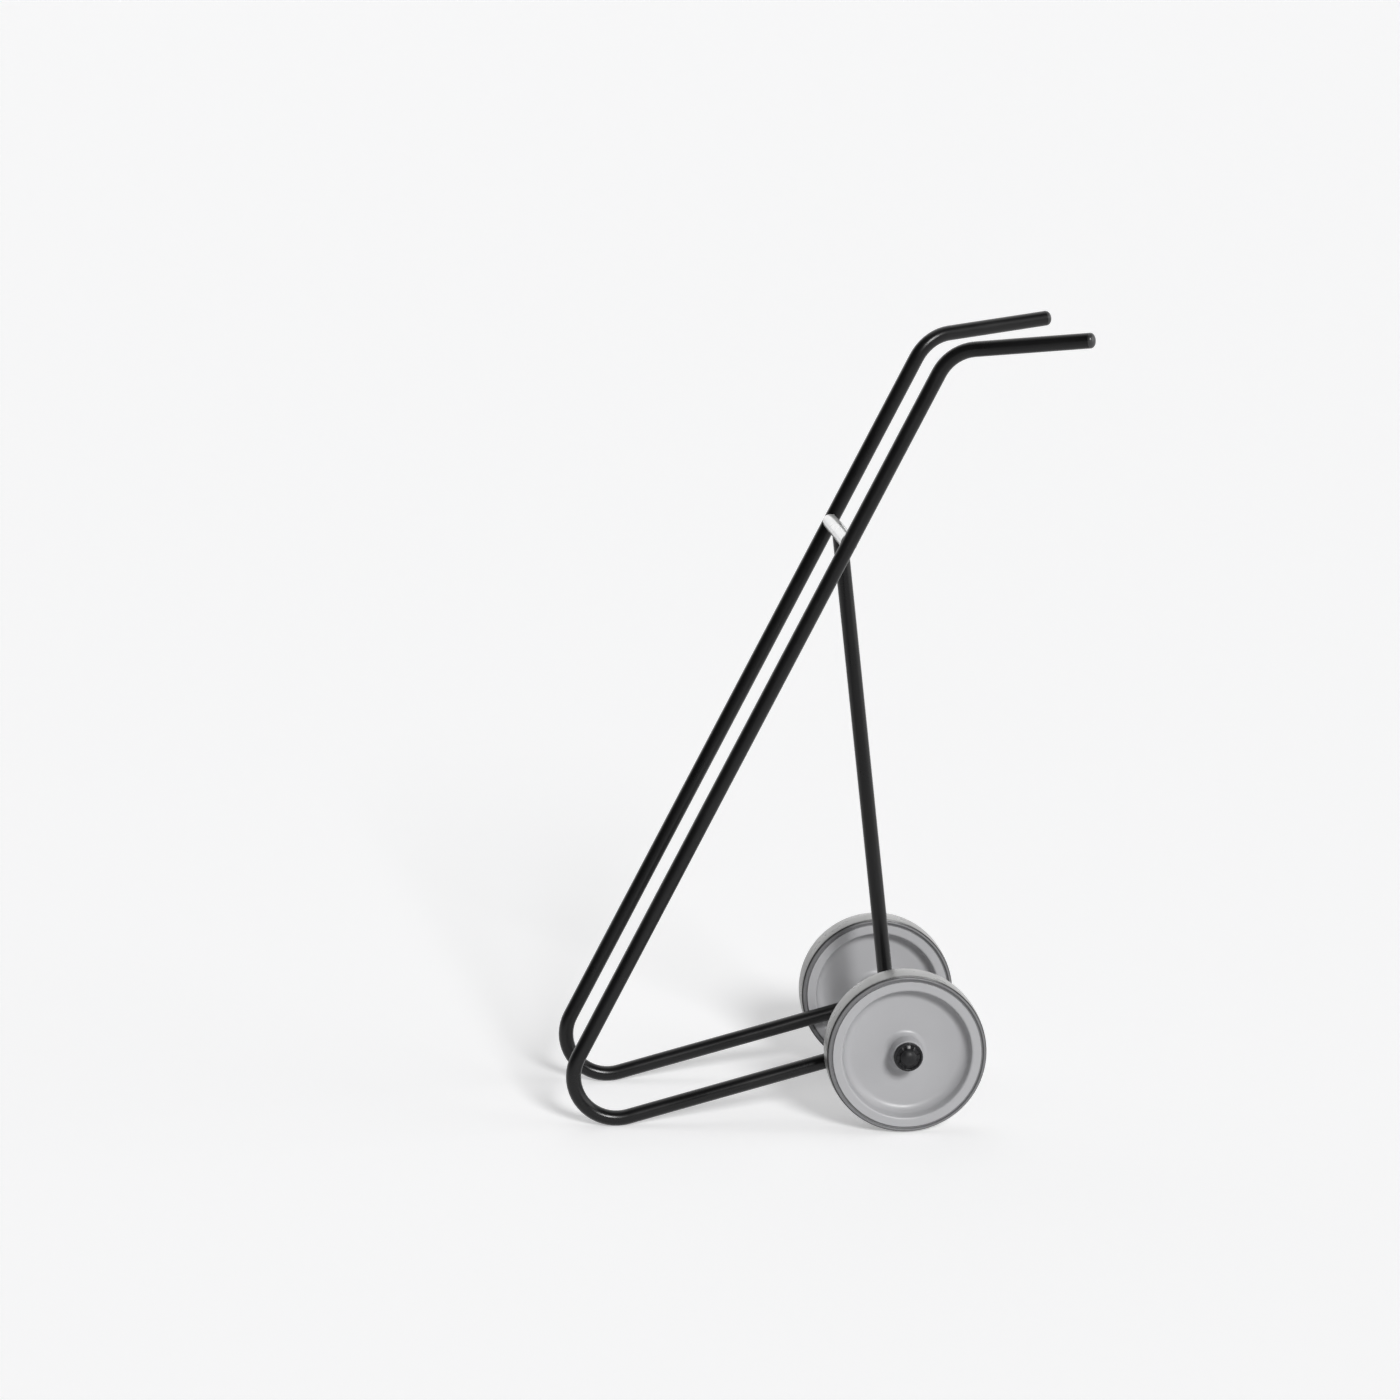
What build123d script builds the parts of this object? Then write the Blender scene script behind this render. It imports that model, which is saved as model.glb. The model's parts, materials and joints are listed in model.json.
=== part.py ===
from build123d import *
import os
from math import asin, atan2, cos, degrees, hypot, radians, sin, tan

# Stool trolley. Two bent steel side tubes carry splayed handles at the top, turn at hairpin feet on the
# floor and end on an axle between two rubber-tyred wheels. A cross bar and a centre strut brace them.
# Millimetres and degrees. +Z is up, +X points to the person who pushes and +Y to that person's right.
# The origin is on the floor, below the middle of the outline.

# Frame tubes
tube_diameter = 19.0
tube_wall = 1.5
tube_spacing = 201.0  # between the middles of the side tubes
bend_radius = 54.0  # of every bend, to the tube's centre line
foot_reach = 354.0  # from the axle back to where the foot bends rest
upright_slope = 62.1  # above the floor
shoulder_height = 958.5  # where the centre lines of upright and handle would cross
handle_length = 177.2  # from that crossing to the tip of the plug
handle_rise = 5.3  # above the floor
handle_splay = 20.1  # outwards
cross_bar_height = 726.0
weld_gap = 0.1  # between a shaped tube end and the tube that it is welded to

# White buffer sleeve, snapped over the cross bar
sleeve_wall = 0.6
sleeve_clearance = 0.1
sleeve_end_gap = 0.8  # round the side tubes
sleeve_slit = 14.5  # width of the lengthwise slit
sleeve_slit_slope = 24.0  # direction that the slit faces, above the floor on the handles' side
sleeve_strut_gap = 0.8  # round the strut

# Plugs in the handle ends
plug_head = 8.0  # length of the domed head
plug_rim = 1.6  # straight part of that head
plug_shoulder_inset = 2.4  # from the tube's outside in to the dome's shoulder
plug_tip_diameter = 6.4
plug_tip_rise = 1.8  # of the dome's crown above its shoulder
plug_stem = 20.0  # length inside the tube
plug_clearance = 0.1

# Axle
axle_diameter = 20.0
axle_slip = 0.2  # between the rod and the axle tube
axle_tube_wall = 2.3
axle_tube_overhang = 4.35  # beyond each side tube
axle_end = 5.6  # of the rod, beyond the outer washer
washer_diameter = 36.0
washer_thickness = 2.0
washer_clearance = 0.25
end_play = 0.15  # between a hub and each washer

# Push-on axle caps
cap_rim_height = 3.6
cap_rim_width = 3.0
cap_web = 1.4  # thickness of the toothed web
cap_web_width = 3.5
cap_wall = 1.48  # of the dome
cap_dome_height = 9.6
cap_dome_shoulder = 6.6  # height where the dome starts to round over
cap_crown_diameter = 11.0
cap_end_gap = 0.6  # between the rod's end and the dome
cap_grip = 0.02  # between the teeth and the rod
cap_windows = 8
cap_window_width = 3.4
cap_window_length = 2.5  # along the radius

# Wheels
wheel_diameter = 200.0
tyre_thickness = 8.0
rim_width = 46.0
rim_lip = 11.5  # width of the flat ring beside the tyre
dish_depth = 20.0
dish_lean = 2.8  # by which the dish's side leans in on its way down
dish_flare_run = 7.0  # where that side runs out into the dish's floor
dish_flare_height = 7.0
hub_overhang = 7.0  # of the hub, beyond each face of the rim
hub_wall = 6.0  # at the boss's end
hub_draft = 1.0  # by which the boss widens towards the dish
hub_flare_run = 6.0  # where the boss runs out into the dish
hub_flare_height = 6.0
bush_wall = 3.0
bush_press = 0.02  # between bush and hub
bush_running = 0.05  # between bush and axle rod
tyre_seat = 0.05  # between tyre and rim
tread_crown = 2.0  # how far the tread falls away to its edges
tread_flat = 24.0  # width of the level part of the tread

# Sizes that follow from those above
tube_radius = tube_diameter / 2
axle_radius = axle_diameter / 2
axle_tube_inside = axle_radius + axle_slip
axle_tube_outside = axle_tube_inside + axle_tube_wall
wheel_radius = wheel_diameter / 2
axle_height = wheel_radius
side_offset = tube_spacing / 2
axle_tube_end = side_offset + tube_radius + axle_tube_overhang
hub_length = rim_width + 2 * hub_overhang
hub_start = axle_tube_end + washer_thickness + end_play
hub_end = hub_start + hub_length
wheel_offset = (hub_start + hub_end) / 2
washer_outer_face = hub_end + end_play + washer_thickness
bush_radius = axle_radius + bush_wall
boss_radius = bush_radius + hub_wall
boss_foot_radius = boss_radius + hub_draft
rim_radius = wheel_radius - tyre_thickness
dish_mouth_radius = rim_radius - rim_lip
dish_side_radius = dish_mouth_radius - dish_lean
dish_floor_radius = dish_side_radius - dish_flare_run

# The lower run leaves the axle's middle and touches the foot bend's circle from below
foot_height = bend_radius + tube_radius
foot_drop = axle_height - foot_height
lower_slope = degrees(atan2(foot_drop, foot_reach) + asin(bend_radius / hypot(foot_reach, foot_drop)))
foot_half_angle = (upright_slope - lower_slope) / 2
foot_middle_slope = (upright_slope + lower_slope) / 2
corner_reach = bend_radius / sin(radians(foot_half_angle))

# Places measured from the axle, along X
corner_x = -foot_reach - corner_reach * cos(radians(foot_middle_slope))
corner_z = foot_height - corner_reach * sin(radians(foot_middle_slope))
shoulder_x = corner_x + (shoulder_height - corner_z) / tan(radians(upright_slope))
cross_bar_x = corner_x + (cross_bar_height - corner_z) / tan(radians(upright_slope))
handle_run = cos(radians(handle_rise)) * cos(radians(handle_splay))
handle_out = cos(radians(handle_rise)) * sin(radians(handle_splay))
handle_up = sin(radians(handle_rise))
tip_x = shoulder_x + handle_length * handle_run + plug_tip_diameter / 2 * hypot(handle_out, handle_up)
tail_x = -foot_reach - bend_radius - tube_radius

# The origin lies midway between the foot bends and the handle tips
axle_x = -(tip_x + tail_x) / 2
axle = Vector(axle_x, 0, axle_height)
cross_bar = Vector(axle_x + cross_bar_x, 0, cross_bar_height)
upright_direction = Vector(cos(radians(upright_slope)), 0, sin(radians(upright_slope)))
sides = {"right": 1, "left": -1}


def bar_between(start, end, radius):
    """Round solid bar from one point to another."""
    run = Vector(end) - Vector(start)
    return extrude(Plane(origin=start, z_dir=run) * Circle(radius), run.length)


def tube_along(path):
    """Frame tube whose middle follows a path."""
    ring = Circle(tube_radius) - Circle(tube_radius - tube_wall)
    return sweep(Plane(origin=path @ 0, z_dir=path % 0) * ring, path=path)


def turned(points):
    """Solid turned about the Y axis from points of radius and distance along the axis."""
    return revolve(make_face(Polyline(*points, close=True)), Axis.Y)


def both_ways(half):
    """Profile points of a symmetric turned piece, from those of its outer half."""
    return half + [(radius, -along) for radius, along in reversed(half)]


def on_axle(piece, side, distance=0.0):
    """Piece that was turned about Y, set on the axle so that its +Y end faces outwards."""
    return Pos(axle_x, side * distance, axle_height) * Rot(0, 0, 90 - 90 * side) * piece


def axle_bore():
    """Cylinder that clears the axle tube, for shaping the tube ends welded to it."""
    reach = Vector(0, tube_spacing, 0)
    return bar_between(axle - reach, axle + reach, axle_tube_outside + weld_gap)


def handle_direction(side):
    """Way that a handle points, from shoulder to tip."""
    return Vector(handle_run, side * handle_out, handle_up)


def shoulder(side):
    """Crossing of the centre lines of upright and handle."""
    return Vector(axle_x + shoulder_x, side * side_offset, shoulder_height)


def side_tube(side):
    """Bent tube from the axle through foot and shoulder to the handle's end, hollowed to fit the axle tube."""
    across = Vector(0, side * side_offset, 0)
    corner = Vector(axle_x + corner_x, 0, corner_z) + across
    end = shoulder(side) + handle_direction(side) * (handle_length - plug_head)
    path = FilletPolyline(axle + across, corner, shoulder(side), end, radius=bend_radius)
    return tube_along(path) - axle_bore()


def handle_plug(side):
    """Plug with a domed head and a plain stem."""
    stem_radius = tube_radius - tube_wall - plug_clearance
    shoulder_radius = tube_radius - plug_shoulder_inset
    profile = [
        (0, -plug_stem),
        (stem_radius, -plug_stem),
        (stem_radius, 0),
        (tube_radius, 0),
        (tube_radius, plug_rim),
        (shoulder_radius, plug_head - plug_tip_rise),
        (plug_tip_diameter / 2, plug_head),
        (0, plug_head),
    ]
    end = shoulder(side) + handle_direction(side) * (handle_length - plug_head)
    return Plane(origin=end, z_dir=handle_direction(side)) * Rot(90, 0, 0) * turned(profile)


def hollowed_for_uprights(bar, gap):
    """Bar or sleeve across the frame, its ends hollowed to fit round the uprights."""
    reach = upright_direction * tube_spacing
    for side in sides.values():
        middle = cross_bar + Vector(0, side * side_offset, 0)
        bar -= bar_between(middle - reach, middle + reach, tube_radius + gap)
    return bar


def shaped_cross_bar():
    """Tube between the uprights, its ends hollowed to fit them."""
    across = Vector(0, side_offset, 0)
    return hollowed_for_uprights(tube_along(Line(cross_bar - across, cross_bar + across)), weld_gap)


def centre_strut():
    """Straight tube from the axle tube to the cross bar, both ends hollowed."""
    reach = Vector(0, tube_spacing, 0)
    bar_room = bar_between(cross_bar - reach, cross_bar + reach, tube_radius + weld_gap)
    return tube_along(Line(axle, cross_bar)) - axle_bore() - bar_room


def buffer_sleeve():
    """Thin split sleeve round the cross bar, shaped to the uprights and cut away over the strut."""
    inside = tube_radius + sleeve_clearance
    across = Vector(0, side_offset, 0)
    sleeve = bar_between(cross_bar - across, cross_bar + across, inside + sleeve_wall)
    sleeve -= bar_between(cross_bar - across, cross_bar + across, inside)
    sleeve = hollowed_for_uprights(sleeve, sleeve_end_gap)
    slit_way = Vector(cos(radians(sleeve_slit_slope)), 0, sin(radians(sleeve_slit_slope)))
    slit_plane = Plane(origin=cross_bar, x_dir=Vector(0, 1, 0), z_dir=slit_way)
    sleeve -= extrude(slit_plane * Rectangle(tube_spacing, sleeve_slit), tube_diameter)
    return sleeve - bar_between(axle, cross_bar, tube_radius + sleeve_strut_gap)


def axle_tube():
    """Tube welded across the ends of the side tubes and strut."""
    return turned(both_ways([(axle_tube_inside, axle_tube_end), (axle_tube_outside, axle_tube_end)]))


def axle_rod():
    """Round rod through both wheels."""
    end = washer_outer_face + axle_end
    return turned([(0, -end), (axle_radius, -end), (axle_radius, end), (0, end)])


def washer():
    """Flat thrust washer, lying on its inner face."""
    inside = axle_radius + washer_clearance
    outside = washer_diameter / 2
    return turned([(inside, 0), (outside, 0), (outside, washer_thickness), (inside, washer_thickness)])


def axle_cap():
    """Push-on cap: heavy rim, web cut into spring teeth and a dome over the rod's end."""
    bore = axle_radius + cap_grip
    dome = bore + cap_wall
    rim_inside = dome + cap_web_width
    rim = rim_inside + cap_rim_width
    crown = cap_crown_diameter / 2
    roof = axle_end + cap_end_gap
    profile = [
        (bore, 0),
        (rim, 0),
        (rim, cap_rim_height),
        (rim_inside, cap_rim_height),
        (rim_inside, cap_web),
        (dome, cap_web),
        (dome, cap_dome_shoulder),
        (crown, cap_dome_height),
        (0, cap_dome_height),
        (0, roof),
        (bore, roof),
    ]
    cap = turned(profile)
    window = Box(cap_window_length, 2 * cap_web, cap_window_width)
    reach = (dome + rim_inside) / 2
    for turn in range(cap_windows):
        cap -= Rot(0, (turn + 0.5) * 360 / cap_windows, 0) * Pos(reach, cap_web / 2, 0) * window
    return cap


def rim():
    """Moulded wheel centre, deeply dished on both faces, with a tapered and flared hub boss."""
    dish_floor = rim_width / 2 - dish_depth
    return turned(both_ways([
        (bush_radius + bush_press, hub_length / 2),
        (boss_radius, hub_length / 2),
        (boss_foot_radius, dish_floor + hub_flare_height),
        (boss_foot_radius + hub_flare_run, dish_floor),
        (dish_floor_radius, dish_floor),
        (dish_side_radius, dish_floor + dish_flare_height),
        (dish_mouth_radius, rim_width / 2),
        (rim_radius, rim_width / 2),
    ]))


def tyre():
    """Rubber ring with flat side walls and a tread that falls away to its edges."""
    side_wall = rim_width / 2
    return turned(both_ways([
        (rim_radius + tyre_seat, side_wall),
        (wheel_radius - tread_crown, side_wall),
        (wheel_radius, tread_flat / 2),
    ]))


def wheel_bush():
    """Plain bearing sleeve through the hub."""
    inside = axle_radius + bush_running
    return turned(both_ways([(inside, hub_length / 2), (bush_radius, hub_length / 2)]))


pieces = {
    "cross_bar": shaped_cross_bar(),
    "buffer_sleeve": buffer_sleeve(),
    "centre_strut": centre_strut(),
    "axle_tube": on_axle(axle_tube(), 1),
    "axle_rod": on_axle(axle_rod(), 1),
}
for name, side in sides.items():
    pieces[name + "_side_tube"] = side_tube(side)
    pieces[name + "_handle_plug"] = handle_plug(side)
    pieces[name + "_inner_washer"] = on_axle(washer(), side, axle_tube_end)
    pieces[name + "_outer_washer"] = on_axle(washer(), side, hub_end + end_play)
    pieces[name + "_axle_cap"] = on_axle(axle_cap(), side, washer_outer_face)
    pieces[name + "_rim"] = on_axle(rim(), side, wheel_offset)
    pieces[name + "_tyre"] = on_axle(tyre(), side, wheel_offset)
    pieces[name + "_wheel_bush"] = on_axle(wheel_bush(), side, wheel_offset)

os.makedirs("parts", exist_ok=True)
for name, piece in pieces.items():
    export_step(piece, "parts/" + name + ".step")
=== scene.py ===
import functools
import json
import math

import bmesh
import bpy
import numpy as np
from bpy.props import FloatProperty, FloatVectorProperty, IntProperty, PointerProperty
from mathutils import Matrix, Vector


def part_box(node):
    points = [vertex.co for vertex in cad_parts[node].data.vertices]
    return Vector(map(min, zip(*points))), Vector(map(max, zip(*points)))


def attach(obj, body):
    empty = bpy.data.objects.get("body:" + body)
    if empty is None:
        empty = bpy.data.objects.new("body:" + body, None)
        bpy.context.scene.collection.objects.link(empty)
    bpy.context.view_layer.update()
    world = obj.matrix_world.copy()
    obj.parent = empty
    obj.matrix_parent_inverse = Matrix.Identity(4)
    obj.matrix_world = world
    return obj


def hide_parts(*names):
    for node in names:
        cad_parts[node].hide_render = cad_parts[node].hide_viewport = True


bl_info = {
    "name": "Stool trolley",
    "version": (1, 0, 0),
    "blender": (4, 5, 0),
    "location": "3D View > Sidebar > Trolley",
    "description": "Dresses the two-wheeled stool trolley and sets its studio",
    "category": "Add Mesh",
}

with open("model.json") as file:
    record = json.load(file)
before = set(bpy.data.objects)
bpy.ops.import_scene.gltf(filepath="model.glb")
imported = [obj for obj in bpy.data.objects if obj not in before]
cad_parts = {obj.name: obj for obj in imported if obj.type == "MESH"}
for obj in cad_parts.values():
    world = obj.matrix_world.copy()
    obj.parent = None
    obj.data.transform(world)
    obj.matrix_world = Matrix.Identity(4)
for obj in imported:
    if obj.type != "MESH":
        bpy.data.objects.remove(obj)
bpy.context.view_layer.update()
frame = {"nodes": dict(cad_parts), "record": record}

MM = 0.001
SIDES = {"right": 1.0, "left": -1.0}
ACROSS = np.array((0.0, 1.0, 0.0))
ASKEW = (0.31, 0.17, 0.93)  # a direction that no turned piece's axis follows
SHARP_EDGE = math.radians(40)  # edges that bend more than this are shaded sharp
SAME_POINT = 1e-7  # points closer than this are one
SMALL_TURNS = 96  # steps round a cap or plug
TIGHT_FIT = 0.02 * MM  # room of a bush in its hub and of a cap on its rod
TYRE_SEAT = 0.05 * MM  # room between tyre and rim
COAT_ROUGHNESS = 0.15
GRAIN_STRENGTH = 0.35
DARK_FLOOR = (0.3, 1.5)  # where reflections of the floor darken, in metres towards the dark side
DARK_ROOM = (-0.15, 0.45)  # the same for the surroundings, as cosines to the dark side


def middle_of(node):
    """Centre of a CAD node's box."""
    low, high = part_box(node)
    return (low + high) / 2


def size_of(node):
    """Extents of a CAD node's box."""
    low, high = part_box(node)
    return high - low


def grip_of(side):
    """The record's mount on one handle."""
    mounts = frame["record"]["mounts"]
    return next(mount for mount in mounts if mount["name"] == side + "_handle_grip")


AXLE = middle_of("axle_tube")
TUBE_RADIUS = grip_of("left")["dims"]["r_mm"] * MM


def length_property(name, description, millimetres):
    """Length setting with its default in millimetres."""
    return FloatProperty(
        name=name, description=description, default=millimetres * MM, unit="LENGTH"
    )


def angle_property(name, description, degrees):
    """Angle setting with its default in degrees."""
    return FloatProperty(
        name=name, description=description, default=math.radians(degrees), subtype="ANGLE"
    )


def direction_property(name, description, value):
    """Direction setting, from the trolley outwards."""
    return FloatVectorProperty(
        name=name, description=description, default=value, subtype="DIRECTION"
    )


def colour_property(name, description, value):
    """Colour setting with its default in linear light."""
    return FloatVectorProperty(
        name=name, description=description, default=value, size=3, min=0.0, max=1.0, subtype="COLOR"
    )


class TrolleyWheelSizes(bpy.types.PropertyGroup):
    """Sizes of rims and tyres beyond those that the frame gives."""

    turns: IntProperty(name="Steps", description="Steps round a wheel", default=240, min=24)
    hub_wall: length_property("Hub wall", "Thickness of the boss at its end", 6)
    hub_draft: length_property("Hub draft", "How far the boss widens towards the dish", 1)
    rim_lip: length_property("Rim lip", "Width of the flat ring beside the tyre", 11.5)
    dish_depth: length_property("Dish depth", "From the rim's face to the dish's floor", 20)
    dish_slope: length_property("Dish slope", "How far the dish's side leans in", 4.2)
    mouth_fillet: length_property("Mouth rounding", "Radius at the dish's mouth", 2.8)
    floor_fillet: length_property("Floor rounding", "Radius at the foot of the dish's side", 12)
    boss_fillet: length_property("Boss rounding", "Radius where the boss leaves the dish", 8)
    edge_fillet: length_property("Edge rounding", "Radius on the rim's and boss's edges", 0.9)
    rim_groove: length_property("Rim groove", "Width of the groove between rim and side bead", 2.3)
    groove_depth: length_property("Groove depth", "Of that groove", 2.4)
    bead: length_property("Side bead", "Width of the rounded bead on a tyre's side", 3.45)
    tread_start: length_property("Tread start", "From the side bead to the tread's edge", 3.5)
    tread_step: length_property(
        "Tread step", "How far the tread stands above the groove beside it", 1.6)
    crown: length_property("Crown", "How far the tread falls away to its edges", 1.2)


class TrolleyCapSizes(bpy.types.PropertyGroup):
    """Sizes of the push-on axle caps and handle plugs beyond those that the frame gives."""

    teeth: IntProperty(name="Teeth", description="Spring teeth round an axle cap", default=8, min=3)
    rim_height: length_property("Rim height", "Of a cap's heavy rim", 2.6)
    rim_width: length_property("Rim width", "Of a cap's heavy rim", 3.0)
    web: length_property("Web", "Thickness of the toothed web", 1.0)
    tooth_rise: length_property("Tooth rise", "How far a tooth climbs towards the dome", 1.75)
    tooth_round: length_property(
        "Tooth rounding", "How far a tooth falls away along its sides", 0.7)
    window: length_property("Window", "Width of the gap between two teeth", 3.2)
    dome_radius: length_property("Dome radius", "Of the cap's dome at its foot", 10.8)
    dome_straight: length_property("Dome foot", "Straight height of the dome", 3.0)
    plug_rim: length_property("Plug rim", "Straight part of a handle plug's head", 1.6)
    plug_head: length_property("Plug head", "Length of a handle plug's head", 8.0)
    plug_stem: length_property("Plug stem", "Length inside the handle", 20.0)
    plug_stem_inset: length_property("Plug stem inset", "From the tube's outside to the stem", 1.6)
    plug_seam: length_property("Plug seam", "Depth of the seam between plug and tube", 0.15)


class TrolleyFrameSizes(bpy.types.PropertyGroup):
    """Slopes of the welded tubes and the size of their weld beads."""

    upright_slope: angle_property("Upright slope", "Above the floor", 62.1)
    bend_radius: length_property("Bend radius", "To the tube's middle", 54)
    weld: length_property("Weld", "Radius of a weld bead", 1.5)
    bar_weld: length_property("Cross bar weld", "Radius of the beads beside the sleeve", 0.6)
    weld_ripples: IntProperty(
        name="Weld ripples", description="Ripples round one bead", default=34, min=0
    )


class TrolleyColours(bpy.types.PropertyGroup):
    """Base colours of the finishes, in linear light."""

    powder: colour_property("Powder coat", "Satin black of the tubes", (0.003, 0.003, 0.0032))
    sleeve: colour_property("Sleeve", "White plastic of the buffer sleeve", (0.95, 0.95, 0.945))
    plug: colour_property("Plugs", "Black plastic of the handle plugs", (0.027, 0.027, 0.0275))
    cap: colour_property("Caps", "Black spring steel of the axle caps", (0.012, 0.012, 0.013))
    zinc: colour_property("Zinc", "Plated steel of rod and washers", (0.62, 0.63, 0.64))
    rim: colour_property("Rims", "Light grey plastic of the wheel centres", (0.388, 0.388, 0.398))
    tyre: colour_property("Tyres", "Grey rubber of the side beads", (0.160, 0.160, 0.165))
    tread: colour_property("Treads", "Paler rubbed rubber of the treads", (0.365, 0.365, 0.36))
    bush: colour_property("Bushes", "Natural nylon of the wheel bushes", (0.74, 0.73, 0.69))


class TrolleyStage(bpy.types.PropertyGroup):
    """Studio floor, light and camera."""

    floor_colour: colour_property("Floor", "Colour of the floor", (0.82, 0.82, 0.825))
    backdrop: colour_property("Backdrop", "Pale surroundings", (0.932, 0.932, 0.936))
    floor_size: FloatProperty(
        name="Floor size", description="Width of the floor", default=2000.0, unit="LENGTH"
    )
    floor_lift: FloatProperty(
        name="Floor lift", description="Light added to the floor where it is seen", default=0.35
    )
    dark_side: direction_property(
        "Dark side", "Direction of the room's dark side", (-0.35, -0.73, 0.58))
    fill: FloatProperty(name="Fill", description="Strength of the surrounding light", default=0.08)
    key: FloatProperty(name="Key", description="Strength of the key light", default=2.55)
    key_from: direction_property("Key from", "Direction of the key light", (0.23, -0.85, 0.47))
    key_spread: angle_property("Key spread", "Apparent width of the key light", 14)
    side: FloatProperty(name="Side", description="Strength of the side light", default=1.0)
    side_from: direction_property("Side from", "Direction of the side light", (0.92, -0.25, 0.30))
    side_spread: angle_property("Side spread", "Apparent width of the side light", 50)
    top: FloatProperty(name="Top", description="Strength of the overhead light", default=0.35)
    top_from: direction_property("Top from", "Direction of the overhead light", (0.0, 0.30, 0.95))
    top_spread: angle_property("Top spread", "Apparent width of the overhead light", 50)
    back: FloatProperty(name="Back", description="Strength of the light from behind", default=0.4)
    back_from: direction_property(
        "Back from", "Direction of the light from behind", (-0.25, 0.85, 0.46))
    back_spread: angle_property("Back spread", "Apparent width of the light from behind", 70)
    camera_turn: angle_property("Camera turn", "From square-on to the left side", -4.54)
    camera_rise: angle_property("Camera rise", "Above the horizon", 10.52)
    camera_roll: angle_property("Camera roll", "About the line of sight", -0.36)
    camera_distance: FloatProperty(
        name="Camera distance", description="To the point that it looks at", default=4.8066,
        unit="LENGTH",
    )
    camera_aim: FloatVectorProperty(
        name="Camera aim", description="Point that it looks at, from the axle's foot",
        default=(-0.2396, 0.0, 0.5176), subtype="TRANSLATION",
    )
    camera_lens: FloatProperty(
        name="Lens", description="Focal length in millimetres", default=99.02
    )


def settings():
    """The scene's trolley settings."""
    return bpy.context.scene.trolley


class TrolleySettings(bpy.types.PropertyGroup):
    """All settings of the trolley."""

    wheel: PointerProperty(type=TrolleyWheelSizes)
    cap: PointerProperty(type=TrolleyCapSizes)
    tubes: PointerProperty(type=TrolleyFrameSizes)
    colours: PointerProperty(type=TrolleyColours)
    stage: PointerProperty(type=TrolleyStage)


def unit(vectors):
    """Vectors scaled to length 1 along their last axis."""
    vectors = np.asarray(vectors, float)
    return vectors / np.linalg.norm(vectors, axis=-1, keepdims=True)


def rounded(corners, closed, steps=9):
    """Profile through corners of (radius, along, fillet). Each corner becomes an arc that touches
    both of its sides, and each side gets points close to its ends, so that smooth shading stays
    flat there."""
    corners = np.asarray(corners, float)
    points, fillets = corners[:, :2], corners[:, 2]
    before = unit(np.roll(points, 1, 0) - points)
    after = unit(np.roll(points, -1, 0) - points)
    half = np.arccos(np.clip((before * after).sum(1), -1, 1)) / 2
    cut = fillets / np.tan(half)
    centre = points + unit(before + after + 1e-12) * (fillets / np.sin(half))[:, None]
    start, end = points + before * cut[:, None], points + after * cut[:, None]
    share = np.linspace(0, 1, steps)[None, :, None]
    chord = start[:, None] * (1 - share) + end[:, None] * share
    radial = chord - centre[:, None]
    length = np.maximum(np.linalg.norm(radial, axis=2, keepdims=True), 1e-12)
    radii = fillets[:, None, None]
    arcs = np.where(radii > 0, centre[:, None] + radial / length * radii, chord)
    if not closed:
        arcs[0], arcs[-1] = points[0], points[-1]
    along_side = np.array((0.03, 0.3, 0.7, 0.97))[:, None]
    rows = []
    for arc, following in zip(arcs, np.roll(arcs, -1, 0)):
        rows += [arc, arc[-1] * (1 - along_side) + following[0] * along_side]
    if not closed:
        rows.pop()
    profile = np.concatenate(rows)
    step = np.linalg.norm(np.diff(profile, axis=0), axis=1)
    return profile[np.concatenate(([True], step > SAME_POINT))]


def wrapped_quads(rows, columns, closed):
    """Corner numbers of the quads of a grid whose columns wrap round, and whose rows do too if it
    is closed."""
    row, column = np.meshgrid(
        np.arange(rows if closed else rows - 1), np.arange(columns), indexing="ij")
    next_row, next_column = (row + 1) % rows, (column + 1) % columns
    corners = (row * columns + column, row * columns + next_column,
               next_row * columns + next_column, next_row * columns + column)
    return np.stack(corners, -1).reshape(-1, 4)


def outward(points, faces):
    """Faces turned so that the closed surface has a positive volume."""
    a, b, c, d = (points[faces[:, i]] for i in range(4))
    middle = points.mean(0)
    volume = np.einsum("ij,ij->i", a - middle, np.cross(b - middle, c - middle)).sum()
    volume += np.einsum("ij,ij->i", a - middle, np.cross(c - middle, d - middle)).sum()
    return faces if volume > 0 else faces[:, ::-1]


def turned(profile, origin, axis, turns, closed):
    """Surface of revolution. The point at distance a along the axis and radius r, turned by angle
    t, is origin + a * axis + r * (cos t * first + sin t * second), with first and second square to
    the axis. An open profile starts and ends on the axis, where its ring shrinks to one point that
    all its quads share."""
    axis = unit(axis)
    first = unit(np.cross(axis, ASKEW))
    second = np.cross(axis, first)
    angle = np.arange(turns) * (2 * np.pi / turns)
    spokes = np.outer(np.cos(angle), first) + np.outer(np.sin(angle), second)
    grid = profile[:, 1, None, None] * axis + profile[:, 0, None, None] * spokes
    points = np.asarray(origin, float) + grid.reshape(-1, 3)
    faces = wrapped_quads(len(profile), turns, closed)
    return points, outward(points, faces)


def joined(*shells):
    """Several shells of points and faces as one."""
    offsets = np.cumsum([0] + [len(points) for points, _ in shells[:-1]])
    return (np.concatenate([points for points, _ in shells]),
            np.concatenate([faces + offset for (_, faces), offset in zip(shells, offsets)]))


def add_piece(name, shell, material, body, slot, *nodes):
    """Adds a shell as an object that rides on a body, takes a finish and stands for CAD nodes.
    The slot argument is not used."""
    points, faces = shell
    mesh = bpy.data.meshes.new(name)
    mesh.from_pydata(points, [], faces.tolist())
    mesh.validate()
    merged = bpy.data.objects.new(name, mesh)
    bpy.context.scene.collection.objects.link(merged)
    merge_poles(mesh)
    mesh.shade_smooth()
    mesh.set_sharp_from_angle(angle=SHARP_EDGE)
    mesh.materials.append(material)
    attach(merged, body)
    if nodes:
        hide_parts(*nodes)


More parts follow.
